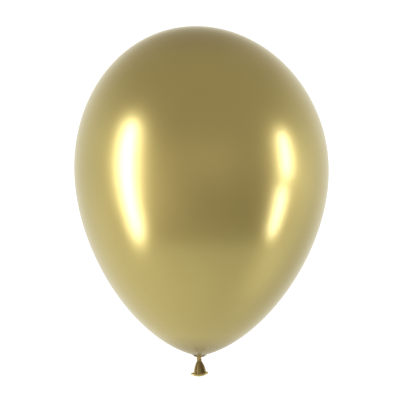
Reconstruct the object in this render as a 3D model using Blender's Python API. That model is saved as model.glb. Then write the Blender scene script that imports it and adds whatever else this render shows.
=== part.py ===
"""A blown-up latex party balloon, tied off with an overhand knot in its own neck.

Sizes are in millimetres. The origin is the point where the neck is pinched shut, on the balloon's
long axis: the skin rises along +Z and the knot, tail and rolled lip hang along -Z. The tail is
flattened, and its wide way lies along X.
"""

import math

import bpy
import numpy as np

MM = 0.001

# Skin: a half ellipse above the widest ring, and below it one curve that draws in to the neck.
SKIN_RADIUS = 140.0
WIDEST_Z = 208.0
CROWN_Z = 365.2
CROWN_FLAT_RADIUS = 4.5
BELLY_PULL = 88.8
THROAT_PULL = 68.8
THROAT_SLOPE = math.radians(16.2)
THROAT_RADIUS = 9.0
THROAT_Z = 3.56
BUTTON = ((7.7, 2.2), (5.9, 1.1), (3.3, 0.0))
SKIN_WALL = 0.1
SKIN_SEGMENTS = 60
UPPER_RINGS = 13
LOWER_RINGS = 15
LEAN_BOW = 2.77
LEAN_TIP = 3.75
LEAN_POWER = 4.45

# Neck: the gathered folds that close the throat, one body of revolution with pleats.
NECK_PROFILE = ((1.2, 3.0), (2.1, 2.4), (2.7, 1.5), (2.9, 0.75), (2.5, 0.35), (1.6, 0.2))
NECK_PLEATS = 11
NECK_PLEAT_DEPTH = 0.14

# Knot: an overhand knot in one strand, its twisted pair lying along X.
KNOT_TOP_Z = -0.6
KNOT_HALF = 2.35
STRAND_RADIUS = 0.44
PAIR_RADIUS = 0.58
PAIR_PITCH = 2.6
LOOP_DEPTH = 1.75
LOOP_REACH = 0.6
STRAND_SIDES = 14
KNOT_RINGS = 150

# Tail: the flattened tube below the knot, opening downwards.
TAIL_PIVOT_Z = -5.95
TAIL_BALL = 0.45
TAIL_WALL = 0.4
TAIL_PROFILE = ((1.7, 0.62, -6.3), (3.7, 1.0, -7.1), (5.0, 1.7, -8.8), (6.0, 2.5, -11.2), (6.6, 3.2, -13.8))
TAIL_MOUTH = (7.4, 3.9)
TAIL_SHIFT = 0.7
TAIL_HOLLOW_FROM = 2
TAIL_SIDES = 56
TAIL_PLEATS = 7
TAIL_PLEAT_DEPTH = 0.05

# Lip: the rolled bead round the mouth, an oval ring bent like a saddle.
LIP_CENTRE = (0.3, 0.0, -18.3)
LIP_WIDE = 8.2
LIP_DEEP = 4.4
BEAD_RADIUS = 1.15
LIP_SADDLE = 1.25
LIP_TILT_WIDE = math.radians(4.0)
LIP_TILT_DEEP = math.radians(8.0)
LIP_STEPS = 64
BEAD_SIDES = 16
LIP_GAP = 0.3

GOLD = (0.62, 0.50, 0.20, 1.0)
DEEP_GOLD = (0.42, 0.31, 0.10, 1.0)


def clear_scene():
    """Removes everything that Blender opens with."""
    for obj in list(bpy.data.objects):
        bpy.data.objects.remove(obj, do_unlink=True)


def gold_latex(name, colour, roughness):
    """A shiny coloured latex."""
    material = bpy.data.materials.new(name)
    material.diffuse_color = colour
    material.use_nodes = True
    shader = material.node_tree.nodes["Principled BSDF"]
    shader.inputs["Base Color"].default_value = colour
    shader.inputs["Metallic"].default_value = 0.9
    shader.inputs["Roughness"].default_value = roughness
    return material


def add_node(name, points, faces, material):
    """One named object from points in millimetres."""
    mesh = bpy.data.meshes.new(name)
    mesh.from_pydata((np.asarray(points) * MM).tolist(), [], faces)
    mesh.validate()
    mesh.materials.append(material)
    obj = bpy.data.objects.new(name, mesh)
    bpy.context.collection.objects.link(obj)
    return obj


def band_faces(rings, sides):
    """Quads between each ring and the next; the first ring is at the start of the points."""
    return [
        (r * sides + s, r * sides + (s + 1) % sides, (r + 1) * sides + (s + 1) % sides, (r + 1) * sides + s)
        for r in range(rings - 1)
        for s in range(sides)
    ]


def lofted(rings, first=None, last=None):
    """Points and faces of a skin over rings of equal size, with an end point or a flat cap at each end.

    The rings run along the path anticlockwise seen from where the path goes, so the faces look out.
    """
    rings = np.asarray(rings, float)
    count, sides = rings.shape[:2]
    points = rings.reshape(-1, 3)
    faces = band_faces(count, sides)
    ends = []
    for point, ring, turned in ((first, 0, True), (last, count - 1, False)):
        base = ring * sides
        loop = [base + s for s in range(sides)]
        if turned:
            loop = loop[::-1]
        if point is None:
            faces.append(tuple(loop))
        else:
            tip = len(points) + len(ends)
            ends.append(point)
            faces.extend((loop[s], loop[(s + 1) % sides], tip) for s in range(sides))
    if ends:
        points = np.vstack([points, np.array(ends)])
    return points, faces


def lean(z):
    """How far the axis of the skin lies along X at each height."""
    t = np.clip(np.asarray(z, float) / CROWN_Z, 0.0, 1.0)
    return LEAN_BOW * np.sin(math.pi * t) - LEAN_TIP * t**LEAN_POWER


def skin_profile():
    """Radius and height of the skin's outside, from the neck's edge up to the crown's flat."""
    low = np.array([SKIN_RADIUS, WIDEST_Z])
    belly = low - (0.0, BELLY_PULL)
    end = np.array([THROAT_RADIUS, THROAT_Z])
    pull = end + THROAT_PULL * np.array([math.cos(THROAT_SLOPE), math.sin(THROAT_SLOPE)])
    t = np.linspace(0.0, 1.0, LOWER_RINGS)[::-1, None] ** 1.15
    lower = (1 - t) ** 3 * low + 3 * (1 - t) ** 2 * t * belly + 3 * (1 - t) * t**2 * pull + t**3 * end
    last = math.acos(CROWN_FLAT_RADIUS / SKIN_RADIUS)
    angle = last * np.linspace(0.0, 1.0, UPPER_RINGS + 1)[1:]
    rise = (CROWN_Z - WIDEST_Z) / math.sin(last)
    upper = np.stack([SKIN_RADIUS * np.cos(angle), WIDEST_Z + rise * np.sin(angle)], axis=1)
    return np.vstack([np.array(BUTTON)[::-1], lower, upper])


def inset(profile, wall):
    """The profile moved inwards by the wall, with its first point moved straight up."""
    ahead = np.vstack([profile[1:], profile[-1:] - (1.0, 0.0)])
    behind = np.vstack([profile[:1], profile[:-1]])
    along = ahead - behind
    along /= np.linalg.norm(along, axis=1, keepdims=True)
    moved = profile + wall * np.stack([-along[:, 1], along[:, 0]], axis=1)
    moved[0] = profile[0] + (0.0, wall)
    moved[-1] = (profile[-1, 0] - wall / 2, profile[-1, 1] - wall)
    return moved


def turned_rings(profile, sides):
    """One ring of points for each radius and height, each leaning with the skin."""
    angle = np.linspace(0.0, 2 * math.pi, sides, endpoint=False)
    radius, z = profile[:, 0, None], profile[:, 1, None]
    x = radius * np.cos(angle) + lean(z)
    return np.stack([x, radius * np.sin(angle), np.broadcast_to(z, x.shape)], axis=2)


def build_skin(material):
    """The hollow skin: outside and inside surfaces joined round the open throat."""
    outer = skin_profile()
    inner = inset(outer, SKIN_WALL)
    rings = np.concatenate([turned_rings(inner[::-1], SKIN_SEGMENTS), turned_rings(outer, SKIN_SEGMENTS)])
    top_in = (lean(CROWN_Z).item(), 0.0, CROWN_Z - SKIN_WALL)
    top_out = (lean(CROWN_Z).item(), 0.0, CROWN_Z)
    points, faces = lofted(rings, first=top_in, last=top_out)
    return add_node("envelope", points, faces, material)


def build_neck(material):
    """The gathered folds inside the throat."""
    profile = np.array(NECK_PROFILE)[::-1]
    sides = NECK_PLEATS * 6
    angle = np.linspace(0.0, 2 * math.pi, sides, endpoint=False)
    folds = 1 - NECK_PLEAT_DEPTH * (0.5 + 0.5 * np.cos(NECK_PLEATS * angle))
    radius = profile[:, 0, None] * folds
    rings = np.stack(
        [radius * np.cos(angle), radius * np.sin(angle), np.broadcast_to(profile[:, 1, None], radius.shape)], axis=2
    )
    points, faces = lofted(rings, first=(0.0, 0.0, profile[0, 1]), last=(0.0, 0.0, profile[-1, 1] - 0.2))
    return add_node("neck", points, faces, material)


def spline(points, steps):
    """A smooth path through the points."""
    ends = np.vstack([2 * points[0] - points[1], points, 2 * points[-1] - points[-2]])
    before, start, end, after = ends[:-3, None], ends[1:-2, None], ends[2:-1, None], ends[3:, None]
    t = np.linspace(0.0, 1.0, steps, endpoint=False)[None, :, None]
    path = start + 0.5 * t * (
        (end - before) + t * ((2 * before - 5 * start + 4 * end - after) + t * (3 * start - before - 3 * end + after))
    )
    return np.vstack([path.reshape(-1, 3), points[-1:]])


def evenly(path, count):
    """The path again, as points at equal distances along it."""
    length = np.concatenate([[0.0], np.cumsum(np.linalg.norm(np.diff(path, axis=0), axis=1))])
    stations = np.linspace(0.0, length[-1], count)
    return np.stack([np.interp(stations, length, path[:, axis]) for axis in range(3)], axis=1)


def knot_path():
    """The middle line of the strand: in at the top, one and a half turns round its other half, a loop behind,
    one and a half turns back, and out below. Half a turn about Y carries the path onto itself."""
    length = 1.5 * PAIR_PITCH
    share = np.linspace(0.0, 1.0, 10)
    angle = 3 * math.pi * share
    pair = np.stack(
        [length * (share - 0.5), -PAIR_RADIUS * np.cos(angle), -PAIR_RADIUS * np.sin(angle)], axis=1
    )
    over = PAIR_RADIUS + 2 * STRAND_RADIUS + 0.1
    entry = np.array(
        [
            (0.0, 0.0, KNOT_HALF),
            (-0.12, 0.0, KNOT_HALF - 0.4),
            (-0.6, -0.05, over + 0.05),
            (-length / 4 - 0.5, -0.15, over - 0.05),
            (-length / 2 - 0.62, -PAIR_RADIUS * 0.75, over * 0.52),
        ]
    )
    loop = np.array(
        [
            (length / 2 + LOOP_REACH * 0.8, PAIR_RADIUS + 0.14, PAIR_RADIUS),
            (length / 2 + LOOP_REACH * 0.35, (PAIR_RADIUS + LOOP_DEPTH) / 2 + 0.35, PAIR_RADIUS * 1.75),
            (length / 4, LOOP_DEPTH, PAIR_RADIUS * 1.1),
        ]
    )
    half = np.vstack([entry, pair, loop])
    back = half[::-1] * (-1.0, 1.0, -1.0)
    path = evenly(spline(np.vstack([half, [(0.0, LOOP_DEPTH + 0.08, 0.0)], back]), 16), KNOT_RINGS)
    for _ in range(3):
        path[1:-1] = 0.25 * path[:-2] + 0.5 * path[1:-1] + 0.25 * path[2:]
    return path + (0.0, 0.0, KNOT_TOP_Z - KNOT_HALF)


def tube_rings(path, radius, sides):
    """Rings of points across the path, carried along it without twisting."""
    along = np.gradient(path, axis=0)
    along /= np.linalg.norm(along, axis=1, keepdims=True)
    across = np.cross(along[0], (0.0, 1.0, 0.0))
    rings = []
    angle = np.linspace(0.0, 2 * math.pi, sides, endpoint=False)[:, None]
    for centre, ahead, wide in zip(path, along, np.broadcast_to(radius, len(path))):
        across = across - ahead * np.dot(across, ahead)
        across /= np.linalg.norm(across)
        rings.append(centre + wide * (np.cos(angle) * across + np.sin(angle) * np.cross(ahead, across)))
    return np.array(rings)


def build_knot(material):
    """The overhand knot, round-ended at the top where it turns in the neck."""
    path = knot_path()
    cap = np.radians([15.0, 40.0, 65.0])
    lead = path[0] + np.outer(STRAND_RADIUS * np.cos(cap), (0.0, 0.0, 1.0))
    radius = np.concatenate([STRAND_RADIUS * np.sin(cap), np.full(len(path), STRAND_RADIUS)])
    rings = tube_rings(np.vstack([lead, path]), radius, STRAND_SIDES)
    points, faces = lofted(rings, first=path[0] + (0.0, 0.0, STRAND_RADIUS))
    return add_node("knot", points, faces, material)


def lip_height(angle):
    """Height of the lip's middle line over the point at this angle, with its saddle and its two tilts."""
    wide, deep = LIP_WIDE * np.cos(angle), LIP_DEEP * np.sin(angle)
    tilt = wide * math.tan(LIP_TILT_WIDE) + deep * math.tan(LIP_TILT_DEEP)
    return LIP_CENTRE[2] + LIP_SADDLE * np.cos(2 * angle) + tilt


def oval_ring(wide, deep, height, shift, folds):
    """An oval of points round the tail's axis, with small folds."""
    angle = np.linspace(0.0, 2 * math.pi, TAIL_SIDES, endpoint=False)
    swell = 1 + folds * np.cos(TAIL_PLEATS * angle + 0.6)
    x = wide * swell * np.cos(angle) + shift
    return np.stack([x, deep * swell * np.sin(angle), np.broadcast_to(height, x.shape)], axis=1)


def build_tail(material):
    """The flared tube: a round root, a closed throat, and an open mouth cut along the lip."""
    angle = np.linspace(0.0, 2 * math.pi, TAIL_SIDES, endpoint=False)
    ball = np.radians([25.0, 55.0, 85.0])
    root = [
        oval_ring(TAIL_BALL * math.sin(a), TAIL_BALL * math.sin(a), TAIL_PIVOT_Z + TAIL_BALL * math.cos(a), 0.0, 0.0)
        for a in ball
    ]
    top = TAIL_PROFILE[0][2]
    bottom = TAIL_PROFILE[-1][2]
    end = lip_height(angle) + BEAD_RADIUS + LIP_GAP

    def at(wide, deep, z, inward):
        share = (z - top) / (bottom - top)
        return oval_ring(wide - inward, deep - inward, z, TAIL_SHIFT * share, TAIL_PLEAT_DEPTH * share)

    outside = root + [at(wide, deep, z, 0.0) for wide, deep, z in TAIL_PROFILE]
    mouth = at(*TAIL_MOUTH, bottom, 0.0)
    mouth[:, 2] = end
    inside = [at(wide, deep, z, TAIL_WALL) for wide, deep, z in TAIL_PROFILE[TAIL_HOLLOW_FROM:]]
    lip = at(*TAIL_MOUTH, bottom, TAIL_WALL)
    lip[:, 2] = end
    rings = np.array(outside + [mouth, lip] + inside[::-1])
    closed = (0.0, 0.0, TAIL_PROFILE[TAIL_HOLLOW_FROM][2] + 0.5)
    points, faces = lofted(rings[:, ::-1], first=(0.0, 0.0, TAIL_PIVOT_Z + TAIL_BALL), last=closed)
    return add_node("tail", points, faces, material)


def build_lip(material):
    """The rolled bead as a closed ring."""
    angle = np.linspace(0.0, 2 * math.pi, LIP_STEPS, endpoint=False)
    path = np.stack(
        [LIP_CENTRE[0] + LIP_WIDE * np.cos(angle), LIP_CENTRE[1] + LIP_DEEP * np.sin(angle), lip_height(angle)], axis=1
    )
    outward = np.stack([np.cos(angle) * LIP_DEEP, np.sin(angle) * LIP_WIDE, np.zeros(LIP_STEPS)], axis=1)
    outward /= np.linalg.norm(outward, axis=1, keepdims=True)
    around = np.linspace(0.0, 2 * math.pi, BEAD_SIDES, endpoint=False)[None, :, None]
    rings = path[:, None] + BEAD_RADIUS * (
        np.cos(around) * outward[:, None] + np.sin(around) * np.array((0.0, 0.0, 1.0))
    )
    faces = []
    for step in range(LIP_STEPS):
        here, ahead = step * BEAD_SIDES, (step + 1) % LIP_STEPS * BEAD_SIDES
        for side in range(BEAD_SIDES):
            beside = (side + 1) % BEAD_SIDES
            faces.append((here + side, here + beside, ahead + beside, ahead + side)[::-1])
    return add_node("rolled_rim", rings.reshape(-1, 3), faces, material)


def main():
    clear_scene()
    skin = gold_latex("gold_latex", GOLD, 0.22)
    slack = gold_latex("slack_latex", DEEP_GOLD, 0.35)
    build_skin(skin)
    build_neck(skin)
    build_knot(skin)
    build_tail(slack)
    build_lip(slack)


main()
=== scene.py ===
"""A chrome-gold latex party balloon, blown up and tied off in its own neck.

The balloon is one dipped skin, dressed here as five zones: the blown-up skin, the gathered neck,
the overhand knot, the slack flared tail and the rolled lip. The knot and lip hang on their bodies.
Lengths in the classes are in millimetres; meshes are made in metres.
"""

import logging
import math
from dataclasses import dataclass
from enum import Enum

import bpy
import numpy as np
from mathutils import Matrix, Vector


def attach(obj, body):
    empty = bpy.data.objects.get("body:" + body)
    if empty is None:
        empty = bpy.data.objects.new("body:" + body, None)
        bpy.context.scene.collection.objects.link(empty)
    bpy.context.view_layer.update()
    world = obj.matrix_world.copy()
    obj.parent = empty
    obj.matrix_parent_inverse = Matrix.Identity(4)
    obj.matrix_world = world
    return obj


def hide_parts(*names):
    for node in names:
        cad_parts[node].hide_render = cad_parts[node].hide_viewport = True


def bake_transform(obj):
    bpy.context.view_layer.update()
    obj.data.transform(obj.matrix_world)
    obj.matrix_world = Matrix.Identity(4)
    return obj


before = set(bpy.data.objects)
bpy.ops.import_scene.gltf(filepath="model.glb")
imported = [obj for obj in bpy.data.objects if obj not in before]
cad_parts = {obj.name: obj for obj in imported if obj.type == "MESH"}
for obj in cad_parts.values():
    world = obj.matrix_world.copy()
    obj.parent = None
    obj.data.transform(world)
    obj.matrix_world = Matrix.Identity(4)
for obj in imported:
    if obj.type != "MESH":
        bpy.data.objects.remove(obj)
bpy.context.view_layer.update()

MM = 0.001
LOG = logging.getLogger("balloon")
Array = np.ndarray
QUARTER_TURN = math.pi / 2
FULL_TURN = 2 * math.pi
SHARP_FROM = math.radians(50)  # Edges bent by more than this stay sharp.
CURVE_STEPS = 1500  # Points on a curve before it is cut into rings.


class Body(Enum):
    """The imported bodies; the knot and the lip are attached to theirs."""

    SKIN = "skin"
    NECK = "neck_folds"
    KNOT = "tied_knot"
    TAIL = "loose_tail"
    LIP = "lip"


class Slot(Enum):
    """The record's material slots."""

    SKIN = "skin"
    GATHERED = "gathered"
    SLACK = "slack"


def linear(hex_colour: str) -> tuple[float, float, float, float]:
    """Turns an sRGB hex colour into linear light.

    Args:
        hex_colour: Six hex digits, with or without a leading hash.

    Returns:
        Red, green, blue and an alpha of one.
    """
    digits = hex_colour.lstrip("#")
    coded = [int(digits[k:k + 2], 16) / 255 for k in (0, 2, 4)]
    red, green, blue = (c / 12.92 if c <= 0.04045 else ((c + 0.055) / 1.055) ** 2.4 for c in coded)
    return red, green, blue, 1.0


def add(tree: bpy.types.NodeTree, kind: str, settings: dict | None = None,
        values: dict | None = None, links: dict | None = None) -> bpy.types.Node:
    """Adds one node with its settings, its input values and the links into it.

    Args:
        tree: The node tree.
        kind: Blender's name of the node type.
        settings: Properties of the node itself.
        values: Values of its inputs, by name or number.
        links: Sockets that feed its inputs, by name or number.

    Returns:
        The new node.
    """
    node = tree.nodes.new(kind)
    for name, value in (settings or {}).items():
        setattr(node, name, value)
    for key, value in (values or {}).items():
        node.inputs[key].default_value = value
    for key, socket in (links or {}).items():
        tree.links.new(socket, node.inputs[key])
    return node


# --- Curves and surfaces ----------------------------------------------------------------------


def smoothstep(low: float, high: float, value: Array) -> Array:
    """Rises from 0 at low to 1 at high along 3t^2 - 2t^3."""
    t = np.clip((value - low) / (high - low), 0.0, 1.0)
    return t * t * (3 - 2 * t)


def bell(value: Array, width: float | Array) -> Array:
    """A bell curve, the exponential of minus the square of value over width."""
    return np.exp(-((value / width) ** 2))


def turn_between(angle: Array, centre: float | Array) -> Array:
    """The signed turn from centre to angle, brought between minus pi and pi."""
    return (angle - centre + math.pi) % FULL_TURN - math.pi


def around(count: int) -> Array:
    """Angles once round a ring, without repeating the first."""
    return np.linspace(0.0, FULL_TURN, count, endpoint=False)


@dataclass(frozen=True)
class Wave:
    """A cosine wave round a ring.

    Attributes:
        count: How many crests it has in a full turn.
        height: Its height, or its share where it scales something.
        start: Its phase at the angle zero, in radians.
        drift: How much its phase grows on the whole way along the piece, in radians.
    """

    count: float
    height: float
    start: float = 0.0
    drift: float = 0.0

    def at(self, angle: Array, along: float | Array = 0.0) -> Array:
        """Height times the cosine of count times the angle, plus the drift so far and the start."""
        return self.height * np.cos(self.count * angle + self.drift * along + self.start)


@dataclass(frozen=True)
class Fold:
    """A fold in the skin, a ridge if its height is above zero and a valley if it is below.

    Attributes:
        above: Where its upper end lies round the axis, in degrees.
        below: Where its lower end lies.
        spread: Half its width, in degrees.
        height: How far it stands out, in millimetres.
    """

    above: float
    below: float
    spread: float
    height: float

    def at(self, angle: Array, along: float | Array = 0.0, wider: float | Array = 1.0) -> Array:
        """Height times a bell curve of the turn from the fold's own line.

        Args:
            angle: Where round the axis.
            along: Share of the way down from the fold's upper end.
            wider: How many times its own spread it is here.

        Returns:
            How far the fold stands out.
        """
        line = np.radians(self.above + (self.below - self.above) * along)
        return self.height * bell(turn_between(angle, line), math.radians(self.spread) * wider)


def bezier(corners: Array, count: int) -> Array:
    """Points of the cubic (1-t)^3 A + 3(1-t)^2 t B + 3(1-t) t^2 C + t^3 D, at even steps of t.

    Args:
        corners: The four control points, one in each row.
        count: How many points.

    Returns:
        One point in each row.
    """
    t = np.linspace(0.0, 1.0, count)[:, None]
    weights = np.hstack([(1 - t) ** 3, 3 * (1 - t) ** 2 * t, 3 * (1 - t) * t**2, t**3])
    return weights @ corners


def distances(path: Array) -> Array:
    """How far along the path each of its points lies."""
    return np.concatenate([[0.0], np.cumsum(np.linalg.norm(np.diff(path, axis=0), axis=1))])


def evenly(path: Array, count: int) -> Array:
    """The same path as points at equal distances along it."""
    length = distances(path)
    stations = np.linspace(0.0, length[-1], count)
    return np.stack([np.interp(stations, length, column) for column in path.T], axis=1)


def graded(path: Array, fine: float, coarse: float, near: float, far: float) -> Array:
    """The same path as points whose distances grow smoothly along it.

    The number of points up to any place is the sum of one over the wanted step, and the new
    points lie where that sum passes whole numbers.

    Args:
        path: Points of the path.
        fine: Wanted step at the start.
        coarse: Wanted step at the end.
        near: Distance along the path at which the step starts to grow.
        far: Distance at which it has its full length.

    Returns:
        One point in each row, both ends of the path among them.
    """
    length = distances(path)
    step = fine + (coarse - fine) * smoothstep(near, far, length)
    passed = np.concatenate([[0.0], np.cumsum(np.diff(length) / step[1:])])
    stations = np.linspace(0.0, passed[-1], math.ceil(passed[-1]) + 1)
    return np.stack([np.interp(stations, passed, column) for column in path.T], axis=1)


def spline(points: Array, steps: int) -> Array:
    """A smooth path through points: on each span the cubic whose ends and slopes match its neighbours.

    Args:
        points: The points to pass through, one in each row.
        steps: How many points to make on each span.

    Returns:
        The path, one point in each row.
    """
    ends = np.vstack([2 * points[0] - points[1], points, 2 * points[-1] - points[-2]])
    before, start, end, after = ends[:-3, None], ends[1:-2, None], ends[2:-1, None], ends[3:, None]
    t = np.linspace(0.0, 1.0, steps, endpoint=False)[None, :, None]
    bend = 2 * before - 5 * start + 4 * end - after
    twist = 3 * start - before - 3 * end + after
    path = start + 0.5 * t * ((end - before) + t * (bend + t * twist))
    return np.vstack([path.reshape(-1, 3), points[-1:]])


def carried_frames(path: Array) -> tuple[Array, Array]:
    """Two directions across each point of a path, carried along it without twisting.

    Each step's direction is the last one's with its part along the path taken away, made one
    unit long again.

    Args:
        path: Points of the path.

    Returns:
        The first and the second direction at each point.
    """
    along = np.gradient(path, axis=0)
    along /= np.linalg.norm(along, axis=1, keepdims=True)
    firsts = [np.cross(along[0], (0.0, 1.0, 0.0))]
    for ahead in along:
        across = firsts[-1] - ahead * (firsts[-1] @ ahead)
        firsts.append(across / np.linalg.norm(across))
    first = np.array(firsts[1:])
    return first, np.cross(along, first)


def grid_faces(rings: int, sides: int, closed: bool) -> Array:
    """Four-sided faces between neighbouring rings of points.

    Args:
        rings: How many rings the points hold.
        sides: How many points each ring has.
        closed: Whether the last ring joins the first, as on a ring-shaped bead.

    Returns:
        One face in each row.
    """
    ring = np.arange(rings if closed else rings - 1)[:, None]
    side = np.arange(sides)[None, :]
    ahead, beside = (ring + 1) % rings, (side + 1) % sides
    corners = (ring * sides + side, ring * sides + beside, ahead * sides + beside, ahead * sides + side)
    return np.stack(corners, axis=-1).reshape(-1, 4)


def make_piece(name: str, rings: Array, poles: tuple | None, finish: bpy.types.Material,
               crease_shade: Array | float = 0.0) -> bpy.types.Object:
    """A smooth closed piece over rings of points.

    The rings run so that each turns anticlockwise seen from where the next one lies. A tube is
    closed by a fan to a pole at each end, and a bead, which has no poles, by its first ring.

    Args:
        name: The piece's name.
        rings: Points in millimetres: ring, point on the ring, coordinate.
        poles: The points beyond the first and last ring, or None for a bead.
        finish: The piece's material.
        crease_shade: Painted shade at each point of the rings, from 0 for none to 1 for full.

    Returns:
        The new object, with its place in its mesh.
    """
    count, sides = rings.shape[:2]
    points = rings.reshape(-1, 3)
    faces = grid_faces(count, sides, poles is None).tolist()
    if poles is not None:
        here = np.arange(sides)
        beside = (here + 1) % sides
        first, last = len(points), len(points) + 1
        points = np.vstack([points, poles])
        top = (count - 1) * sides
        faces += np.stack([beside, here, np.full(sides, first)], axis=1).tolist()
        faces += np.stack([top + here, top + beside, np.full(sides, last)], axis=1).tolist()
    mesh = bpy.data.meshes.new(name)
    mesh.from_pydata((points * MM).tolist(), [], faces)
    mesh.polygons.foreach_set("use_smooth", np.ones(len(mesh.polygons), bool))
    mesh.set_sharp_from_angle(angle=SHARP_FROM)
    mesh.materials.append(finish)
    # Painted shade for creases and fold valleys, stored on the points for the finish to read.
    crowded = np.zeros(len(points), np.float32)
    crowded[:count * sides] = np.broadcast_to(crease_shade, (count, sides)).ravel()
    mesh.attributes.new("crease_shade", "FLOAT", "POINT").data.foreach_set("value", crowded)
    mesh.update()
    piece = bpy.data.objects.new(name, mesh)
    bpy.context.scene.collection.objects.link(piece)
    LOG.info("%s: %d points, %d faces", name, len(points), len(faces))
    return piece


# --- Finishes ---------------------------------------------------------------------------------


@dataclass(frozen=True)
class ChromeLatex:
    """Natural rubber latex dipped with fine metallic pigment.

    Blown up, the skin is thin and its pigment lies flat, so it shines like soft metal. Where it
    is slack it is thicker, and it looks deeper and a little duller. Creases get painted shade.

    Attributes:
        name: The material's name.
        thin: Colour of well stretched skin.
        thick: Colour of slack skin.
        deep: Colour of the painted shade laid in creases and in the valleys of folds.
        dull: Roughness that slack skin adds to the pigment layer's.
        thin_from: Height in millimetres at which the skin starts to thin out.
        thin_to: Height at which it is fully stretched.
        roughness: Of the pigment layer.
        metallic: Share of the surface that the pigment covers.
        clear: Share of clear rubber lying over the pigment.
        clear_roughness: Of that clear surface.
        wrinkle: Depth in millimetres of the fine surface wrinkles.
        wrinkle_size: Distance between wrinkles in millimetres.
        cloud_size: Width in millimetres of the clouds that the dip leaves in the pigment.
        cloud_shift: How far a cloud shifts the colour towards thin or thick skin's.
        flake_size: Distance between flakes in millimetres as drawn. Real ones are about 0.03 mm,
            which is too fine to show.
        flake_grain: How much roughness the flakes add or take.
    """

    name: str
    thin: str
    thick: str
    deep: str
    dull: float
    thin_from: float
    thin_to: float
    roughness: float
    metallic: float
    clear: float
    clear_roughness: float
    wrinkle: float = 0.0
    wrinkle_size: float = 1.0
    cloud_size: float = 45.0
    cloud_shift: float = 0.06
    flake_size: float = 0.4
    flake_grain: float = 0.02

    def build(self) -> bpy.types.Material:
        """Makes the material.

        The colour runs from thick to thin skin's with height, shifted by the clouds, and to the deep
        colour, painted shade, where the mesh's attribute marks a crease or a fold's valley.
        The roughness falls with the same height, and the flakes make it grainy.

        Returns:
            The finished material.
        """
        material = bpy.data.materials.new(self.name)
        material.use_nodes = True
        tree = material.node_tree
        tree.nodes.clear()
        place = add(tree, "ShaderNodeTexCoord").outputs["Object"]
        height = add(tree, "ShaderNodeSeparateXYZ", links={0: place}).outputs["Z"]
        stretch = add(tree, "ShaderNodeMapRange", {"interpolation_type": "SMOOTHSTEP"},
                      {"From Min": self.thin_from * MM, "From Max": self.thin_to * MM},
                      {"Value": height})
        clouds = add(tree, "ShaderNodeTexNoise", {"noise_dimensions": "3D"},
                     {"Scale": 1 / (self.cloud_size * MM), "Detail": 2.0, "Roughness": 0.5},
                     {"Vector": place})
        cloud_shift = add(tree, "ShaderNodeMapRange", None,
                          {"From Min": 0.3, "From Max": 0.7, "To Min": -self.cloud_shift,
                           "To Max": self.cloud_shift}, {"Value": clouds.outputs["Fac"]})
        share = add(tree, "ShaderNodeMath", {"operation": "ADD", "use_clamp": True}, None,
                    {0: stretch.outputs["Result"], 1: cloud_shift.outputs["Result"]})
        open_colour = add(tree, "ShaderNodeMix", {"data_type": "RGBA"},
                          {6: linear(self.thick), 7: linear(self.thin)}, {0: share.outputs[0]})
        # Painted shade: the mesh's attribute pulls the colour to deep in creases and fold valleys.
        crease_shade = add(tree, "ShaderNodeAttribute", {"attribute_name": "crease_shade"})
        colour = add(tree, "ShaderNodeMix", {"data_type": "RGBA"}, {7: linear(self.deep)},
                     {0: crease_shade.outputs["Fac"], 6: open_colour.outputs[2]})
        flakes = add(tree, "ShaderNodeTexNoise", {"noise_dimensions": "3D"},
                     {"Scale": 1 / (self.flake_size * MM), "Detail": 1.0}, {"Vector": place})
        grain = add(tree, "ShaderNodeMapRange", None,
                    {"From Min": 0.25, "From Max": 0.75, "To Min": -self.flake_grain,
                     "To Max": self.flake_grain}, {"Value": flakes.outputs["Fac"]})
        polish = add(tree, "ShaderNodeMapRange", None,
                     {"To Min": self.roughness + self.dull, "To Max": self.roughness},
                     {"Value": stretch.outputs["Result"]})
        gloss = add(tree, "ShaderNodeMath", {"operation": "ADD"}, None,
                    {0: grain.outputs["Result"], 1: polish.outputs["Result"]})
        shader = add(tree, "ShaderNodeBsdfPrincipled", None,
                     {"Metallic": self.metallic, "Coat Weight": self.clear,
                      "Coat Roughness": self.clear_roughness},
                     {"Base Color": colour.outputs[2], "Roughness": gloss.outputs[0]})
        if self.wrinkle > 0:
            creases = add(tree, "ShaderNodeTexNoise", {"noise_dimensions": "3D"},
                          {"Scale": 1 / (self.wrinkle_size * MM), "Detail": 4.0, "Distortion": 0.6},
                          {"Vector": place})
            bump = add(tree, "ShaderNodeBump", None,
                       {"Strength": 1.0, "Distance": self.wrinkle * MM},
                       {"Height": creases.outputs["Fac"]})
            tree.links.new(bump.outputs["Normal"], shader.inputs["Normal"])
        add(tree, "ShaderNodeOutputMaterial", links={"Surface": shader.outputs["BSDF"]})
        return material


# Tight skin: soft metal under a clear gloss, dulling where it draws in to the tie; painted shade in its
# tucks.
SKIN_FINISH = ChromeLatex(
    "chrome_gold_latex", thin="#B8AA6A", thick="#98864F", deep="#54442A", dull=0.28,
    thin_from=1.0, thin_to=30.0, roughness=0.3, metallic=1.0, clear=1.0, clear_roughness=0.2)
# Pressed folds and the knot: darker and rubbery, with a short highlight on each ridge.
GATHERED_FINISH = ChromeLatex(
    "gathered_gold_latex", thin="#AE9A5C", thick="#937F45", deep="#5E4C28", dull=0.06,
    thin_from=-6.0, thin_to=1.0, roughness=0.34, metallic=0.85, clear=0.6, clear_roughness=0.25,
    wrinkle=0.05, wrinkle_size=0.7)
# The slack tail: thick skin, olive brown, with a wide dull shine and painted shade in its valleys.
SLACK_FINISH = ChromeLatex(
    "slack_gold_latex", thin="#847541", thick="#7A6936", deep="#5C4A29", dull=0.05,
    thin_from=-4.0, thin_to=-20.0, roughness=0.4, metallic=0.8, clear=0.25, clear_roughness=0.35,
    wrinkle=0.06, wrinkle_size=1.2)
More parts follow.
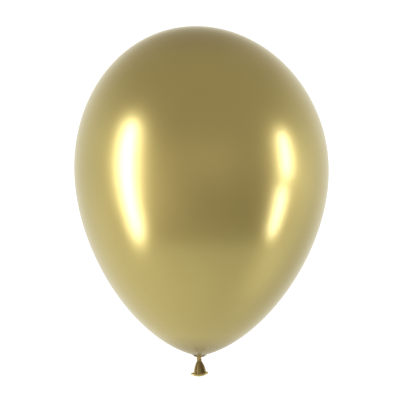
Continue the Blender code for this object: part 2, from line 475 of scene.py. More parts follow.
# The rolled lip: several turns of skin on each other, paler than the tail.
ROLLED_FINISH = ChromeLatex(
    "rolled_gold_latex", thin="#C6B87A", thick="#BAAA6C", deep="#6A5830", dull=0.05,
    thin_from=-16.0, thin_to=-21.0, roughness=0.4, metallic=0.8, clear=0.4, clear_roughness=0.3,
    wrinkle=0.05, wrinkle_size=0.8)


# --- The balloon ------------------------------------------------------------------------------


@dataclass
class BlownSkin:
    """The blown-up skin: a quarter ellipse above its widest ring and a drawn-in curve below it.

    Attributes:
        radius: Of the widest ring.
        widest: Height of the widest ring above the tie.
        crown: Height of the crown.
        belly_pull: How far the lower curve runs on straight down from the widest ring.
        throat_pull: How far it runs on straight out from the throat.
        throat_slope: Its slope at the throat, in degrees.
        throat_radius: Where the small rounded button round the tie ends.
        throat_height: Height at which the button ends.
        bow: How far the axis bows sideways.
        tip: How far the crown leans back to the other side.
        tip_power: How late along the axis that lean sets in.
        button_start: The button's first three control points, as radius and height.
        dimple: The last points of the skin where it is tucked into the throat, first and last.
        sides: Points round each ring.
        button_rings: Rings on the button.
        dome_rings: Rings on the crown's quarter ellipse.
        dimple_rings: Rings in the throat.
        belly_steps: Distance between rings at the throat and at the widest ring.
        belly_grows: Distances from the throat between which that distance grows.
        pleat_reach: How far up the pleats reach.
        pleat_depth: Their depth.
        pleat_out: Radii between which they come in.
        pleats: The waves that make them.
        tuck_height: Height of the crease above the tie.
        tuck_width: Half its width.
        tuck_out: Radii between which it comes in.
        tuck_wander: How its line wanders up and down.
        tucks: The creases.
        lumps: How far the blown skin is out of round.
        crease_shade_between: Depths of a tuck between which its painted shade fades in.
        dimple_pole: Height at which the skin is closed inside the throat.
    """

    radius: float = 140.0
    widest: float = 208.0
    crown: float = 365.2
    belly_pull: float = 88.8
    throat_pull: float = 68.8
    throat_slope: float = 16.2
    throat_radius: float = 9.0
    throat_height: float = 3.56
    bow: float = 2.77
    tip: float = 3.75
    tip_power: float = 4.45
    button_start: tuple = ((2.1, 0.75), (2.6, -0.35), (5.9, 0.75))
    dimple: tuple = ((0.4, 1.6), (1.8, 0.95))
    sides: int = 360
    button_rings: int = 48
    dome_rings: int = 70
    dimple_rings: int = 4
    belly_steps: tuple[float, float] = (0.16, 3.05)
    belly_grows: tuple[float, float] = (3.0, 42.0)
    pleat_reach: float = 7.0
    pleat_depth: float = 0.22
    pleat_out: tuple[float, float] = (1.0, 4.0)
    pleats: tuple[Wave, ...] = (Wave(19, 1.0, 0.4), Wave(31, 0.7, 2.1), Wave(12, 0.5, 4.0))
    tuck_height: float = 2.35
    tuck_width: float = 0.55
    tuck_out: tuple[float, float] = (3.2, 5.5)
    tuck_wander: Wave = Wave(3, 0.25, 0.5)
    tucks: tuple[Fold, ...] = (Fold(218, 218, 32, -1.6), Fold(322, 322, 26, -1.0),
                               Fold(50, 50, 34, -0.9), Fold(132, 132, 30, -0.8))
    lumps: Wave = Wave(2, 0.35, 0.9)
    crease_shade_between: tuple[float, float] = (-0.15, -0.9)
    dimple_pole: float = 1.65

    def lean(self, z: Array) -> Array:
        """How far the axis lies along X: a half-sine bow less a power of height for the crown."""
        t = np.clip(z / self.crown, 0.0, 1.0)
        return self.bow * np.sin(math.pi * t) - self.tip * t**self.tip_power

    def profile(self) -> Array:
        """Radius and height from the dimple at the tie up to the crown.

        Returns:
            One point in each row: the tucked-in throat, the small rounded button round it, the
            belly's cubic and the crown's quarter ellipse.
        """
        end = np.array([self.throat_radius, self.throat_height])
        slope = math.radians(self.throat_slope)
        pull = end + self.throat_pull * np.array([math.cos(slope), math.sin(slope)])
        low = np.array([self.radius, self.widest])
        under = bezier(np.array([end, pull, low - (0.0, self.belly_pull), low]), CURVE_STEPS)
        belly = graded(under, *self.belly_steps, *self.belly_grows)
        button = bezier(np.array([*self.button_start, end]), self.button_rings)
        angle = np.linspace(0.0, QUARTER_TURN, self.dome_rings)[1:-1]
        rise = self.crown - self.widest
        dome = np.stack([self.radius * np.cos(angle), self.widest + rise * np.sin(angle)], axis=1)
        dimple = np.linspace(*self.dimple, self.dimple_rings)
        return np.vstack([dimple, button[:-1], belly, dome])

    def build(self, finish: bpy.types.Material) -> bpy.types.Object:
        """Makes the skin, pleated towards the tie.

        The radius is the profile's, cut back by folds whose depth dies away with the distance
        from the tie: three waves of different counts whose crests don't line up. Tucks, bell
        curves of turn and height, crease it just above the tie.

        Args:
            finish: The skin's material.

        Returns:
            The skin, with its place baked into its mesh.
        """
        profile = self.profile()
        angle = around(self.sides)[None, :]
        r, z = profile[:, :1], profile[:, 1:]
        tucks = sum(tuck.at(angle) for tuck in self.tucks)
        line = self.tuck_height + self.tuck_wander.at(angle)
        tucked = tucks * bell(z - line, self.tuck_width) * smoothstep(*self.tuck_out, r)
        waves = sum(wave.at(angle) for wave in self.pleats) / sum(w.height for w in self.pleats)
        depth = self.pleat_depth * bell(z, self.pleat_reach) * smoothstep(*self.pleat_out, r)
        swell = np.sin(math.pi * np.clip(z / self.crown, 0, 1)) ** 2
        radius = r + depth * (waves - 1) + self.lumps.at(angle) * swell + tucked
        x = radius * np.cos(angle) + self.lean(z)
        rings = np.stack([x, radius * np.sin(angle), np.broadcast_to(z, radius.shape)], axis=2)
        # Painted shade in the tucks, darker where the crease is deeper.
        crease_shade = smoothstep(*self.crease_shade_between, tucked)
        top = (float(self.lean(np.array(self.crown))), 0.0, self.crown)
        poles = ((0.0, 0.0, self.dimple_pole), top)
        piece = make_piece("blown_skin", rings, poles, finish, crease_shade)
        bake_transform(piece)
        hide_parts("envelope")
        return piece


@dataclass
class GatheredNeck:
    """The folds of the neck drawn together under the tie and running down into the knot.

    Attributes:
        folds: How many folds there are.
        fold_depth: Their depth as a share of the radius.
        crowded: How unevenly they are spaced, as a phase in radians.
        slant: How much they wind, as a phase in radians per millimetre of height.
        pinch: Radius at the pinch.
        throat: How much wider it gets in the throat.
        throat_between: Heights between which it gets wider.
        drawn: How much narrower it gets at the foot.
        drawn_from: Height at which the foot starts to narrow.
        flat: Its depth as a share of its width.
        uneven: How far it is out of round.
        bulge: Radius of the fold that bulges out.
        bulge_reach: How far beside the axis its centre lies.
        bulge_side: Where it lies round the axis, in degrees.
        bulge_height: Height of its centre.
        bulge_join: Power by which the bulge is blended in.
        sides: Points round each ring.
        rings: Rings from bottom to top.
        top: Height of the upper end.
        bottom: Height of the lower end.
        cap: How far beyond each end its pole lies.
    """

    folds: int = 13
    fold_depth: float = 0.2
    crowded: float = 0.35
    slant: float = 0.5
    pinch: float = 2.05
    throat: float = 1.2
    throat_between: tuple[float, float] = (-0.3, 1.1)
    drawn: float = 0.5
    drawn_from: float = -1.45
    flat: float = 0.9
    uneven: Wave = Wave(3, 0.05, 1.0)
    bulge: float = 1.2
    bulge_reach: float = 1.75
    bulge_side: float = 200.0
    bulge_height: float = -0.85
    bulge_join: float = 10
    sides: int = 156
    rings: int = 60
    top: float = 1.2
    bottom: float = -1.9
    cap: float = 0.3

    def build(self, finish: bpy.types.Material) -> bpy.types.Object:
        """Makes the folds.

        The radius widens from the pinch up into the throat and narrows at the foot, and each
        fold is a rounded ridge between sharp valleys: the absolute value of a sine. One fold
        bulges out to the side over the knot: a ball beside the axis, blended in by taking the
        tenth root of the sum of both radii's tenth powers.

        Args:
            finish: The folds' material.

        Returns:
            The neck, with its place baked into its mesh.
        """
        z = np.linspace(self.bottom, self.top, self.rings)[:, None]
        angle = around(self.sides)[None, :]
        foot = smoothstep(self.drawn_from, self.bottom, z) ** 2
        waist = self.pinch + self.throat * smoothstep(*self.throat_between, z) - self.drawn * foot
        phase = 0.5 * self.folds * angle + self.crowded * np.sin(2 * angle) + self.slant * z
        folded = 1 - self.fold_depth * (1 - np.abs(np.sin(phase)))
        r = waist * folded * (1 + self.uneven.at(angle))
        aside = turn_between(angle, math.radians(self.bulge_side))
        past = (self.bulge_reach * np.sin(aside)) ** 2
        chord = self.bulge**2 - (z - self.bulge_height) ** 2 - past
        ball = self.bulge_reach * np.cos(aside) + np.sqrt(np.maximum(chord, 0.0))
        ball = np.where((chord > 0) & (np.cos(aside) > 0), ball, 0.0)
        r = (r**self.bulge_join + ball**self.bulge_join) ** (1 / self.bulge_join)
        y = self.flat * r * np.sin(angle)
        rings = np.stack([r * np.cos(angle), y, np.broadcast_to(z, r.shape)], axis=2)
        poles = ((0.0, 0.0, self.bottom - self.cap), (0.0, 0.0, self.top + self.cap))
        piece = make_piece("gathered_neck", rings, poles, finish)
        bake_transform(piece)
        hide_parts("neck")
        return piece


@dataclass
class OverhandKnot:
    """An overhand knot: a pair of strands turned one and a half times, and a loop behind them.

    Attributes:
        top: Height of the knot's upper end.
        half_height: Half its height.
        strand: Radius that the path leaves room for.
        drawn: Radius of the strand as drawn, wide enough for its turns to press into each other.
        squeeze: How much the knot is pressed together along X.
        pair_radius: How far each strand of the pair lies from their middle.
        pitch: Length along X of one full turn of the pair.
        loop_depth: How far behind the pair the loop lies.
        loop_reach: How far beside the pair the loop starts.
        rings: Rings along the strand.
        sides: Points round each ring.
        smoothing: How many times each point is moved halfway to its neighbours' middle.
        ridges: Soft ridges that wind slowly round the strand.
        swells: How the strand swells and eases along its length.
        narrow: Its width at its two ends as a share of its full width.
        narrow_reach: Share of its length over which it gets its full width.
        cap: How far beyond each end its pole lies.
    """

    top: float = -0.6
    half_height: float = 2.35
    strand: float = 0.44
    drawn: float = 0.84
    squeeze: float = 0.72
    pair_radius: float = 0.58
    pitch: float = 2.6
    loop_depth: float = 1.75
    loop_reach: float = 0.6
    rings: int = 460
    sides: int = 44
    smoothing: int = 24
    ridges: tuple[Wave, ...] = (Wave(7, 0.09, 0.0, 14), Wave(11, 0.05, 1.0, -23))
    swells: tuple[Wave, ...] = (Wave(7.3, 0.07, -QUARTER_TURN), Wave(17.1, 0.04, 2 - QUARTER_TURN))
    narrow: float = 0.55
    narrow_reach: float = 0.03
    cap: float = 0.25

    def path(self) -> Array:
        """The strand's middle line.

        It comes in at the top, passes over the pair, turns one and a half times round its other
        half, loops behind, turns back, and leaves below. Half a turn about Y carries it onto
        itself. The points of the entry and the loop are listed one by one, the pair is a helix.

        Returns:
            Evenly spaced points.
        """
        length = 1.5 * self.pitch
        share = np.linspace(0.0, 1.0, 10)
        turn = 1.5 * FULL_TURN * share
        pair = np.stack([length * (share - 0.5), -self.pair_radius * np.cos(turn),
                         -self.pair_radius * np.sin(turn)], axis=1)
        over = self.pair_radius + 2 * self.strand + 0.1
        entry = np.array([
            (0.0, 0.0, self.half_height),
            (-0.12, 0.0, self.half_height - 0.4),
            (-0.6, -0.05, over + 0.05),
            (-length / 4 - 0.5, -0.15, over - 0.05),
            (-length / 2 - 0.62, -self.pair_radius * 0.75, over * 0.52),
        ])
        behind = (self.pair_radius + self.loop_depth) / 2 + 0.35
        loop = np.array([
            (length / 2 + self.loop_reach * 0.8, self.pair_radius + 0.14, self.pair_radius),
            (length / 2 + self.loop_reach * 0.35, behind, self.pair_radius * 1.75),
            (length / 4, self.loop_depth, self.pair_radius * 1.1),
        ])
        half = np.vstack([entry, pair, loop])
        back = half[::-1] * (-1.0, 1.0, -1.0)
        middle = [(0.0, self.loop_depth + 0.08, 0.0)]
        path = evenly(spline(np.vstack([half, middle, back]), 40), self.rings)
        for _ in range(self.smoothing):
            path[1:-1] = 0.25 * path[:-2] + 0.5 * path[1:-1] + 0.25 * path[2:]
        return path * (self.squeeze, 1.0, 1.0) + (0.0, 0.0, self.top - self.half_height)

    def build(self, finish: bpy.types.Material) -> bpy.types.Object:
        """Makes the strand, a bunched tube carried along the path.

        Its radius is the drawn radius, swelling and easing along the way in two waves, with
        ridges that wind slowly round it where the bunched skin is folded lengthways.

        Args:
            finish: The strand's material.

        Returns:
            The knot, riding on its own body.
        """
        path = self.path()
        first, second = (side[:, None] for side in carried_frames(path))
        share = np.linspace(0.0, 1.0, self.rings)[:, None]
        angle = around(self.sides)[None, :]
        ridges = sum(ridge.at(angle, share) for ridge in self.ridges)
        swell = 1 + sum(wave.at(FULL_TURN * share) for wave in self.swells)
        ends = smoothstep(0.0, self.narrow_reach, np.minimum(share, 1 - share))
        r = self.drawn * swell * (1 + ridges) * (self.narrow + (1 - self.narrow) * ends)
        across, beside = (r * np.cos(angle))[..., None], (r * np.sin(angle))[..., None]
        rings = path[:, None] + across * first + beside * second
        poles = (path[0] + (0.0, 0.0, self.cap), path[-1] - (0.0, 0.0, self.cap))
        piece = make_piece("overhand_knot", rings, poles, finish)
        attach(piece, Body.KNOT.value)
        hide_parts("knot")
        return piece


@dataclass(frozen=True)
class Groove:
    """A narrow groove along the rolled lip, where two turns of the roll lie on each other.

    Attributes:
        line: Where it lies round the bead's section, in degrees up from outside.
        wander: How that line wanders on its way round, in radians.
        depth: Its depth as a share of the bead's radius.
        width: Half its width, in radians.
    """

    line: float
    wander: Wave
    depth: float
    width: float

    def cut(self, turn: Array, ring: Array) -> Array:
        """Depth times a bell curve of the angle from the groove's wandering line."""
        line = math.radians(self.line) + self.wander.at(turn)
        return self.depth * bell(turn_between(ring, line), self.width)


@dataclass
class RolledLip:
    """The lip rolled outwards into a bead round the oval mouth, bent like a saddle.

    Attributes:
        centre: Middle of the mouth.
        wide: Half the mouth's width along X, to the middle of the bead.
        deep: Half its depth along Y.
        bead: Radius of the bead.
        saddle: How far the lip rises at its ends and falls at its middle.
        tilt_wide: How far it is tipped along X, in degrees.
        tilt_deep: How far it is tipped along Y, in degrees.
        steps: Rings round the mouth.
        sides: Points round the bead's section.
        grooves: The grooves of the roll.
        swells: How the bead swells on its way round.
    """

    centre: tuple[float, float, float] = (0.3, 0.0, -18.2)
    wide: float = 8.2
    deep: float = 4.4
    bead: float = 1.25
    saddle: float = 0.85
    tilt_wide: float = 4.0
    tilt_deep: float = 4.0
    steps: int = 320
    sides: int = 48
    grooves: tuple[Groove, ...] = (Groove(70, Wave(3, 0.25, -QUARTER_TURN), 0.10, 0.16),
                                   Groove(-75, Wave(2, 0.3, 0.8), 0.08, 0.14))
    swells: tuple[Wave, ...] = (Wave(5, 0.035, 0.6), Wave(9, 0.03, 2.0), Wave(31, 0.012))

    def height(self, angle: Array) -> Array:
        """Height of the bead's middle line: the saddle rises twice a turn, and two tilts."""
        across = self.wide * np.cos(angle) * math.tan(math.radians(self.tilt_wide))
        through = self.deep * np.sin(angle) * math.tan(math.radians(self.tilt_deep))
        return self.centre[2] + self.saddle * np.cos(2 * angle) + across + through

    def build(self, finish: bpy.types.Material) -> bpy.types.Object:
        """Makes the bead.

        Its section is a circle with narrow grooves cut into it, carried along an oval that
        follows the middle line's height. The bead swells a little on its way round.

        Args:
            finish: The bead's material.

        Returns:
            The lip, riding on its own body.
        """
        turn = around(self.steps)[:, None]
        ring = around(self.sides)[None, :]
        out = np.stack([np.cos(turn) * self.deep, np.sin(turn) * self.wide], axis=2)
        out /= np.linalg.norm(out, axis=2, keepdims=True)
        cuts = sum(groove.cut(turn, ring) for groove in self.grooves)
        r = self.bead * (1 + sum(wave.at(turn) for wave in self.swells)) * (1 - cuts)
        x = self.centre[0] + self.wide * np.cos(turn) + r * np.cos(ring) * out[..., 0]
        y = self.centre[1] + self.deep * np.sin(turn) + r * np.cos(ring) * out[..., 1]
        z = self.height(turn) + r * np.sin(ring)
        rings = np.stack([x, y, z], axis=2)[:, ::-1]
        piece = make_piece("rolled_lip", rings, None, finish)
        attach(piece, Body.LIP.value)
        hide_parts("rolled_rim")
        return piece


@dataclass
class FlaredTail:
    """The slack end of the neck, flattened, folded and flaring like a bell to the lip.

    Attributes:
        lip: The lip that it ends in.
        top: Height of its upper end, inside the knot.
        split_from: Height at which the lower piece starts, inside the upper one.
        split_to: Height at which the upper piece ends.
        narrow: Half its width at the knot.
        opening: How much wider it gets on the way.
        opening_power: How early it gets wider.
        flare: How much wider it gets at the lip.
        flare_power: How late that sets in.
        shift: How far its lower end lies along X.
        flat_top: Its depth as a share of its width at the knot.
        flat_low: The same at the lip.
        wall: Thickness of the skirt's skin as drawn.
        sink: How far the upper piece lies inside the lower one's outer face.
        lip_overlap: How far above the lip's middle line the skin ends, inside the bead.
        sides: Points round each ring.
        root_rings: Rings of the upper piece.
        skirt_rings: Rings of the lower piece's outer face.
        lining_rings: Rings of its inner face.
        fine: Fine pleats near the knot.
        fine_between: Shares of the way over which they fade.
        spread_more: How much wider the folds are at the knot than at the lip, as a share.
        knot_hold: Share of their height that the folds have at the knot.
        freed_by: Share of the way by which they have all of it.
        lip_hold: Share of their height that the lip takes away.
        held_from: Share of the way from which it does.
        crease_shade_between: Depths of a fold's valley between which its painted shade fades in.
        crease_shade_ends: Shares of the way over which the painted shade ends above the lip.
        lining_start: How much further down the inner face starts, as a share of the way.
        lining_pole: How far below split_from the inner face is closed.
        skirt_pole: How far below split_from the outer face is closed.
        hood: Shares by which the root's rings close in over its top, inside the knot.
        hood_power: How much wider than high the hood is.
        hood_height: How far above the top the hood ends.
        folds: The folds of the tail.
    """

    lip: RolledLip
    top: float = -3.7
    split_from: float = -8.7
    split_to: float = -9.4
    narrow: float = 2.3
    opening: float = 4.3
    opening_power: float = 2.1
    flare: float = 0.7
    flare_power: float = 12
    shift: float = 0.7
    flat_top: float = 0.55
    flat_low: float = 0.53
    wall: float = 0.3
    sink: float = 0.02
    lip_overlap: float = 0.45
    sides: int = 240
    root_rings: int = 70
    skirt_rings: int = 110
    lining_rings: int = 60
    fine: Wave = Wave(23, 0.07, 0.0, 5)
    fine_between: tuple[float, float] = (0.2, 0.9)
    spread_more: float = 0.35
    knot_hold: float = 0.35
    freed_by: float = 0.5
    lip_hold: float = 0.75
    held_from: float = 0.8
    crease_shade_between: tuple[float, float] = (-0.1, -0.4)
    crease_shade_ends: tuple[float, float] = (0.86, 0.97)
    lining_start: float = 0.06
    lining_pole: float = 0.35
    skirt_pole: float = 0.1
    hood: tuple[float, ...] = (0.92, 0.7, 0.35)
    hood_power: float = 0.6
    hood_height: float = 0.9
    folds: tuple[Fold, ...] = (
        Fold(262, 272, 24, 0.12),
        Fold(296, 304, 26, -0.5),
        Fold(228, 232, 16, -0.45),
        Fold(60, 66, 18, 0.6),
        Fold(98, 92, 15, -0.9),
        Fold(135, 128, 16, 0.55),
        Fold(172, 176, 10, -0.25),
    )

    def shape(self, t: Array, inward: float = 0.0) -> tuple[Array, Array]:
        """Points of the bell.

        Half the width grows as a root bell, n + b (1 - (1 - t)^p), with a late flare of t^q; the
        depth is a share of it. Each fold adds its height times a bell curve of the turn from its
        own line, widest at the knot, and is flatter at both ends.

        Args:
            t: Share of the way from the knot to the lip, one for each ring.
            inward: How far to move the surface in, in millimetres.

        Returns:
            Points (ring, point on the ring, coordinate), and the painted shade there, laid in the folds'
            valleys.
        """
        t = t[:, None]
        angle = around(self.sides)[None, :]
        bottom = self.lip.height(angle) + self.lip_overlap
        z = self.top + (bottom - self.top) * t
        opened = self.opening * (1 - (1 - t) ** self.opening_power) + self.flare * t**self.flare_power
        wide = self.narrow + opened
        deep = wide * (self.flat_top + (self.flat_low - self.flat_top) * t)
        wider = 1 + self.spread_more * (1 - t)
        folded = sum(fold.at(angle, t, wider) for fold in self.folds)
        # Painted shade in the folds' valleys, fading out above the lip.
        crease_shade = smoothstep(*self.crease_shade_between, folded) * (1 - smoothstep(*self.crease_shade_ends, t))
        loosened = self.knot_hold + (1 - self.knot_hold) * smoothstep(0.0, self.freed_by, t)
        held = 1 - self.lip_hold * smoothstep(self.held_from, 1.0, t)
        pleated = self.fine.at(angle, t) * (1 - smoothstep(*self.fine_between, t))
        out = folded * loosened * held - inward + pleated
        x = (wide + out) * np.cos(angle) + self.shift * t
        y = (deep + out) * np.sin(angle)
        return np.stack([x, y, np.broadcast_to(z, x.shape)], axis=2), crease_shade

    def share_at(self, z: float) -> float:
        """The share of the way to the lip's middle at a height."""
        return (z - self.top) / (self.lip.centre[2] + self.lip_overlap - self.top)

    def root(self, finish: bpy.types.Material) -> bpy.types.Object:
        """Makes the upper piece, closed inside the knot by a hood and below by a flat fan.

        Args:
            finish: The tail's material.

        Returns:
            The root, with its place baked into its mesh.
        """
        end = self.share_at(self.split_to)
        shares = np.linspace(0.0, end, self.root_rings)
        outer, crowded = (part[::-1] for part in self.shape(shares, self.sink))
        hood = np.array(self.hood)[:, None, None]
        tip = np.array([0.0, 0.0, self.top + self.hood_height])
        inwards = hood**self.hood_power * (1, 1, 0) + hood * (0, 0, 1)
        rings = np.concatenate([outer, tip + (outer[-1] - tip) * inwards])
        # Painted shade of the valleys, full on the hood hidden inside the knot.
        crease_shade = np.concatenate([crowded, np.ones((len(self.hood), self.sides))])
        poles = ((self.shift * end, 0.0, self.split_to), tuple(tip))
        piece = make_piece("tail_root", rings, poles, finish, crease_shade)
        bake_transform(piece)
        return piece

    def skirt(self, finish: bpy.types.Material) -> bpy.types.Object:
        """Makes the lower piece, a wall with an outer and an inner face that meet in the lip.

        Args:
            finish: The tail's material.

        Returns:
            The skirt, with its place baked into its mesh.
        """
        start = self.share_at(self.split_from)
        # Painted shade of the outer and inner faces goes along with their points.
        outer, outer_shade = (
            part[::-1] for part in self.shape(np.linspace(start, 1.0, self.skirt_rings)))
        lining, lining_shade = self.shape(
            np.linspace(start + self.lining_start, 1.0, self.lining_rings), self.wall)
        rings = np.concatenate([lining, outer])
        crease_shade = np.concatenate([lining_shade, outer_shade])
        middle = self.shift * start
        poles = ((middle, 0.0, self.split_from - self.lining_pole),
                 (middle, 0.0, self.split_from - self.skirt_pole))
        piece = make_piece("tail_skirt", rings, poles, finish, crease_shade)
        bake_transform(piece)
        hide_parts("tail")
        return piece

    def build(self, finish: bpy.types.Material) -> tuple[bpy.types.Object, bpy.types.Object]:
        """Makes the tail in two overlapping pieces, the root above and the skirt below.

        Both are left out of mirrored light, so the skin's underside doesn't show a dark tail.

        Args:
            finish: The tail's material.

        Returns:
            The root and the skirt.
        """
        upper, lower = self.root(finish), self.skirt(finish)
        for piece in (upper, lower):
            piece.visible_glossy = False
        return upper, lower


# --- The studio -------------------------------------------------------------------------------


@dataclass(frozen=True)
class StripBox:
    """A soft strip light, aimed at the balloon.

    Attributes:
        name: The light's name.
        bearing: Degrees round from the viewer's side, positive to the right.
        high: Elevation of its upper end, in degrees.
        low: Elevation of its lower end.
        spread: Its width as an angle, in degrees.
        radiance: Brightness of its face.
        distance: From the balloon's middle, in metres.
        halo: How many times wider its dim surround is.
        halo_share: Brightness of the surround as a share of the face's.
        tint: Its colour.
    """

    name: str
    bearing: float
    high: float
    low: float
    spread: float
    radiance: float
    distance: float = 3.0
    halo: float = 2.6
    halo_share: float = 0.11
    tint: tuple[float, float, float] = (1.0, 0.99, 1.0)

    def build(self, aim: Vector) -> None:
        """Makes the light and its dim surround, unseen by the camera itself but seen in the skin."""
        self.face(aim, 1.0, 1.0)
        self.face(aim, self.halo, self.halo_share)

    def face(self, aim: Vector, wider: float, share: float) -> None:
        """One plain rectangle of light.

        Args:
            aim: The point that it faces.
            wider: How many times the strip's own width it is.
            share: Its brightness as a share of the strip's.
        """
        turn = math.radians(self.bearing)
        upper, lower = (self.distance * math.tan(math.radians(e)) for e in (self.high, self.low))
        width = wider * 2 * self.distance * math.tan(math.radians(self.spread / 2))
        height = upper - lower
        light = bpy.data.lights.new(self.name, "AREA")
        light.shape = "RECTANGLE"
        light.size, light.size_y = width, height
        light.energy = share * self.radiance * math.pi * width * height
        light.color = self.tint
        lamp = bpy.data.objects.new(self.name, light)
        bpy.context.scene.collection.objects.link(lamp)
        away = Vector((math.sin(turn), -math.cos(turn), 0.0))
        lamp.location = aim + away * self.distance + Vector((0, 0, (upper + lower) / 2))
        lamp.rotation_euler = away.to_track_quat("Z", "Y").to_euler()
        lamp.visible_camera = False


@dataclass(frozen=True)
class Glow:
    """A soft patch of light in the room, seen only in the skin.

    Directions are told by their bearing, round from the viewer's side in radians and positive to
    the right, and by their height, the sine of their elevation.

    Attributes:
        name: The patch's name.
        bearing: Its middle.
        reach: Turn from its middle at which it has faded out.
        above: Heights at which its upper edge starts and ends, from none to full.
        below: The same for its lower edge.
        lift: How much of the room's own light it adds at its middle.
    """

    name: str
    bearing: float
    reach: float
    above: tuple[float, float]
    below: tuple[float, float]
    lift: float


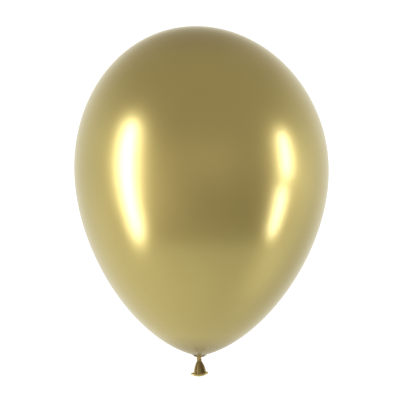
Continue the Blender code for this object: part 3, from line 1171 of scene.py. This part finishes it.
@dataclass
class Studio:
    """A white sweep behind and below, a dim room elsewhere, and strip lights at the sides.

    Attributes:
        middle: Height of the camera, level with the frame's middle.
        side_shift: Its place along X.
        focal: Its focal length in millimetres.
        sensor: Its sensor's width in millimetres.
        frame_width: Width of the frame at the balloon, in metres.
        floor_height: Height of the floor.
        floor_size: Its radius.
        floor_sides: Points round its edge.
        aim: The point that the lights face.
        white: Brightness of what the camera sees behind the balloon.
        dim: Colour of the room on the viewer's side and above.
        bright: Colour of the white sweep.
        floor_slope: Minus how much lower the floor's edge lies on the viewer's side than at the
            sides. It lies that much higher behind.
        floor_edge: Heights between which the floor's edge is blurred.
        back_edge: Bearings between which the backdrop's side edges are blurred.
        back_top: Heights between which its top fades in.
        rear_sides: Shares of X between which the shade over the backdrop fades in.
        rear_behind: Shares of Y between which it does.
        rear_above: Heights between which it does.
        rear_shade: How much of the room's light it takes.
        low_from: Heights between which the tilt from side to side sets in.
        low_tilt: How much brighter the lower room is towards the left.
        glows: The soft patches of light.
        strips: The strip lights.
    """

    middle: float = 0.1737
    side_shift: float = 0.0008
    focal: float = 180.0
    sensor: float = 36.0
    frame_width: float = 0.4412
    floor_height: float = -0.45
    floor_size: float = 3.2
    floor_sides: int = 96
    aim: tuple[float, float, float] = (0.0, 0.0, 0.2)
    white: float = 1.15
    dim: tuple[float, float, float] = (0.515, 0.464, 0.375)
    bright: tuple[float, float, float] = (0.90, 0.87, 0.73)
    floor_slope: float = -0.276
    floor_edge: tuple[float, float] = (-0.45, -0.54)
    back_edge: tuple[float, float] = (1.40, 1.95)
    back_top: tuple[float, float] = (0.80, 0.12)
    rear_sides: tuple[float, float] = (0.5, 0.1)
    rear_behind: tuple[float, float] = (0.0, 0.5)
    rear_above: tuple[float, float] = (0.3, 0.6)
    rear_shade: float = -0.2
    low_from: tuple[float, float] = (0.0, -0.4)
    low_tilt: float = -0.22
    glows: tuple[Glow, ...] = (
        Glow("left_glow", -0.95, 1.0, above=(0.45, 0.05), below=(-0.72, -0.3), lift=0.55),
        Glow("viewer_glow", 0.15, 0.75, above=(0.6, 0.1), below=(-0.4, 0.1), lift=0.3),
        Glow("right_glow", 1.6, 0.65, above=(0.3, -0.1), below=(-1.0, -0.6), lift=0.5),
    )
    strips: tuple[StripBox, ...] = (
        StripBox("left_strip", bearing=-68.6, high=26, low=-33, spread=11.8, radiance=9.3),
        StripBox("right_upper_strip", bearing=79.2, high=21, low=-3, spread=8, radiance=9.0),
        StripBox("right_lower_strip", bearing=76, high=-9, low=-31, spread=9.0, radiance=9.0),
    )

    def camera(self) -> None:
        """Places the camera level with the frame's middle, looking along +Y."""
        data = bpy.data.cameras.new("camera")
        data.lens, data.sensor_width = self.focal, self.sensor
        camera = bpy.data.objects.new("camera", data)
        bpy.context.scene.collection.objects.link(camera)
        distance = self.frame_width * self.focal / self.sensor
        camera.location = (self.side_shift, -distance, self.middle)
        camera.rotation_euler = (QUARTER_TURN, 0.0, 0.0)
        bpy.context.scene.camera = camera

    def floor(self) -> None:
        """A round pale floor well below the hanging balloon, left out of the skin's reflections."""
        angle = around(self.floor_sides)
        points = np.stack([np.cos(angle), np.sin(angle), np.zeros_like(angle)], axis=1) * self.floor_size
        points[:, 2] = self.floor_height
        mesh = bpy.data.meshes.new("floor")
        mesh.from_pydata(points.tolist(), [], [list(range(self.floor_sides))])
        material = bpy.data.materials.new("white_paper_floor")
        material.use_nodes = True
        tree = material.node_tree
        tree.nodes.clear()
        paper = add(tree, "ShaderNodeBsdfPrincipled", None,
                    {"Base Color": linear("#F8F8F7"), "Roughness": 0.9})
        add(tree, "ShaderNodeOutputMaterial", links={"Surface": paper.outputs["BSDF"]})
        mesh.materials.append(material)
        floor = bpy.data.objects.new("floor", mesh)
        bpy.context.scene.collection.objects.link(floor)
        floor.visible_glossy = False

    def room(self) -> list[tuple]:
        """What the room's brightness is made of, by direction.

        The white sweep is the larger of the floor, whose edge is lowest on the viewer's side and
        highest behind, and the backdrop, which reaches round both sides and fades upwards. The
        lift is one, with the tilt from side to side, the shade over the backdrop's top and the
        glows added. Every edge is a smooth ramp and every patch a product of ramps.

        Returns:
            One node in each row: its name, its type, its settings, its values, and the names of
            the nodes that feed its inputs.
        """
        number, ramp = "ShaderNodeMath", "ShaderNodeMapRange"
        times, plus_times = {"operation": "MULTIPLY"}, {"operation": "MULTIPLY_ADD"}
        size, soft = {"operation": "ABSOLUTE"}, {"interpolation_type": "SMOOTHSTEP"}
        low, high = "From Min", "From Max"
        rows = [
            ("nearer", number, times, {1: -1.0}, {0: "depth"}),
            ("bearing", number, {"operation": "ARCTAN2"}, {}, {0: "side", 1: "nearer"}),
            ("turned", number, size, {}, {0: "bearing"}),
            ("aside", number, size, {}, {0: "side"}),
            ("below", number, plus_times, {1: self.floor_slope}, {0: "depth", 2: "height"}),
        ]
        edges = (
            ("floor", "below", self.floor_edge), ("back_round", "turned", self.back_edge),
            ("back_up", "height", self.back_top), ("rear_aside", "aside", self.rear_sides),
            ("rear_back", "depth", self.rear_behind), ("rear_up", "height", self.rear_above),
            ("low", "height", self.low_from),
        )
        for name, measure, (off, full) in edges:
            rows.append((name, ramp, soft, {low: off, high: full}, {"Value": measure}))
        rows += [
            ("back", number, times, {}, {0: "back_round", 1: "back_up"}),
            ("sweep", number, {"operation": "MAXIMUM"}, {}, {0: "floor", 1: "back"}),
            ("low_side", number, times, {}, {0: "low", 1: "side"}),
            ("rear_band", number, times, {}, {0: "rear_back", 1: "rear_up"}),
            ("rear", number, times, {}, {0: "rear_aside", 1: "rear_band"}),
            ("tilted", number, plus_times, {1: self.low_tilt, 2: 1.0}, {0: "low_side"}),
            ("lift", number, plus_times, {1: self.rear_shade}, {0: "rear", 2: "tilted"}),
        ]
        for glow in self.glows:
            turn, near, upper, lower, band, patch = (
                f"{glow.name}_{part}" for part in ("turn", "near", "upper", "lower", "band", "patch"))
            rows += [
                (turn, number, {"operation": "SUBTRACT"}, {1: glow.bearing}, {0: "bearing"}),
                (turn, number, size, {}, {0: turn}),
                (near, ramp, soft, {low: glow.reach, high: 0.0}, {"Value": turn}),
                (upper, ramp, soft, {low: glow.above[0], high: glow.above[1]}, {"Value": "height"}),
                (lower, ramp, soft, {low: glow.below[0], high: glow.below[1]}, {"Value": "height"}),
                (band, number, times, {}, {0: upper, 1: lower}),
                (patch, number, times, {}, {0: near, 1: band}),
                ("lift", number, plus_times, {1: glow.lift}, {0: patch, 2: "lift"}),
            ]
        return rows

    def surroundings(self) -> None:
        """The room: what the skin mirrors, by direction, and plain white behind the balloon.

        What is mirrored is the dim colour mixed to the bright one by the white sweep, times the
        lift. Rays from the camera or from a matt surface meet plain white. The glows and the shade
        stand for things in the room that only the skin shows.
        """
        world = bpy.data.worlds.new("studio")
        bpy.context.scene.world = world
        world.use_nodes = True
        tree = world.node_tree
        tree.nodes.clear()
        aim = add(tree, "ShaderNodeTexCoord").outputs["Generated"]
        parts = add(tree, "ShaderNodeSeparateXYZ", links={0: aim})
        made = dict(zip(("side", "depth", "height"), parts.outputs))
        for name, kind, settings, values, sources in self.room():
            links = {key: made[source] for key, source in sources.items()}
            made[name] = add(tree, kind, settings, values, links).outputs[0]
        room = add(tree, "ShaderNodeMix", {"data_type": "RGBA"},
                   {6: (*self.dim, 1.0), 7: (*self.bright, 1.0)}, {0: made["sweep"]})
        lit = add(tree, "ShaderNodeVectorMath", {"operation": "SCALE"}, None,
                  {0: room.outputs[2], "Scale": made["lift"]})
        ray = add(tree, "ShaderNodeLightPath")
        seen = add(tree, "ShaderNodeMix", {"data_type": "RGBA"},
                   {6: (self.white, self.white, self.white, 1.0)},
                   {0: ray.outputs["Is Glossy Ray"], 7: lit.outputs[0]})
        backdrop = add(tree, "ShaderNodeBackground", None, {"Strength": 1.0},
                       {"Color": seen.outputs[2]})
        add(tree, "ShaderNodeOutputWorld", links={"Surface": backdrop.outputs[0]})

    def build(self) -> None:
        """Sets up the camera, floor, room and lights, with colours shown as they are."""
        self.camera()
        self.floor()
        self.surroundings()
        for strip in self.strips:
            strip.build(Vector(self.aim))
        bpy.context.scene.view_settings.view_transform = "Standard"


def corners(box: tuple) -> list[list[float]]:
    """A box's two corners as plain lists."""
    return [[float(c) for c in corner] for corner in box]


def main() -> None:
    """Builds the studio and the balloon, top to bottom."""
    logging.basicConfig(level=logging.INFO, format="%(name)s %(message)s")
    Studio().build()
    skin, gathered = SKIN_FINISH.build(), GATHERED_FINISH.build()
    slack, rolled = SLACK_FINISH.build(), ROLLED_FINISH.build()
    lip = RolledLip()
    BlownSkin().build(skin)
    GatheredNeck().build(gathered)
    OverhandKnot().build(gathered)
    FlaredTail(lip).build(slack)
    lip.build(rolled)


if __name__ == "__main__":
    main()
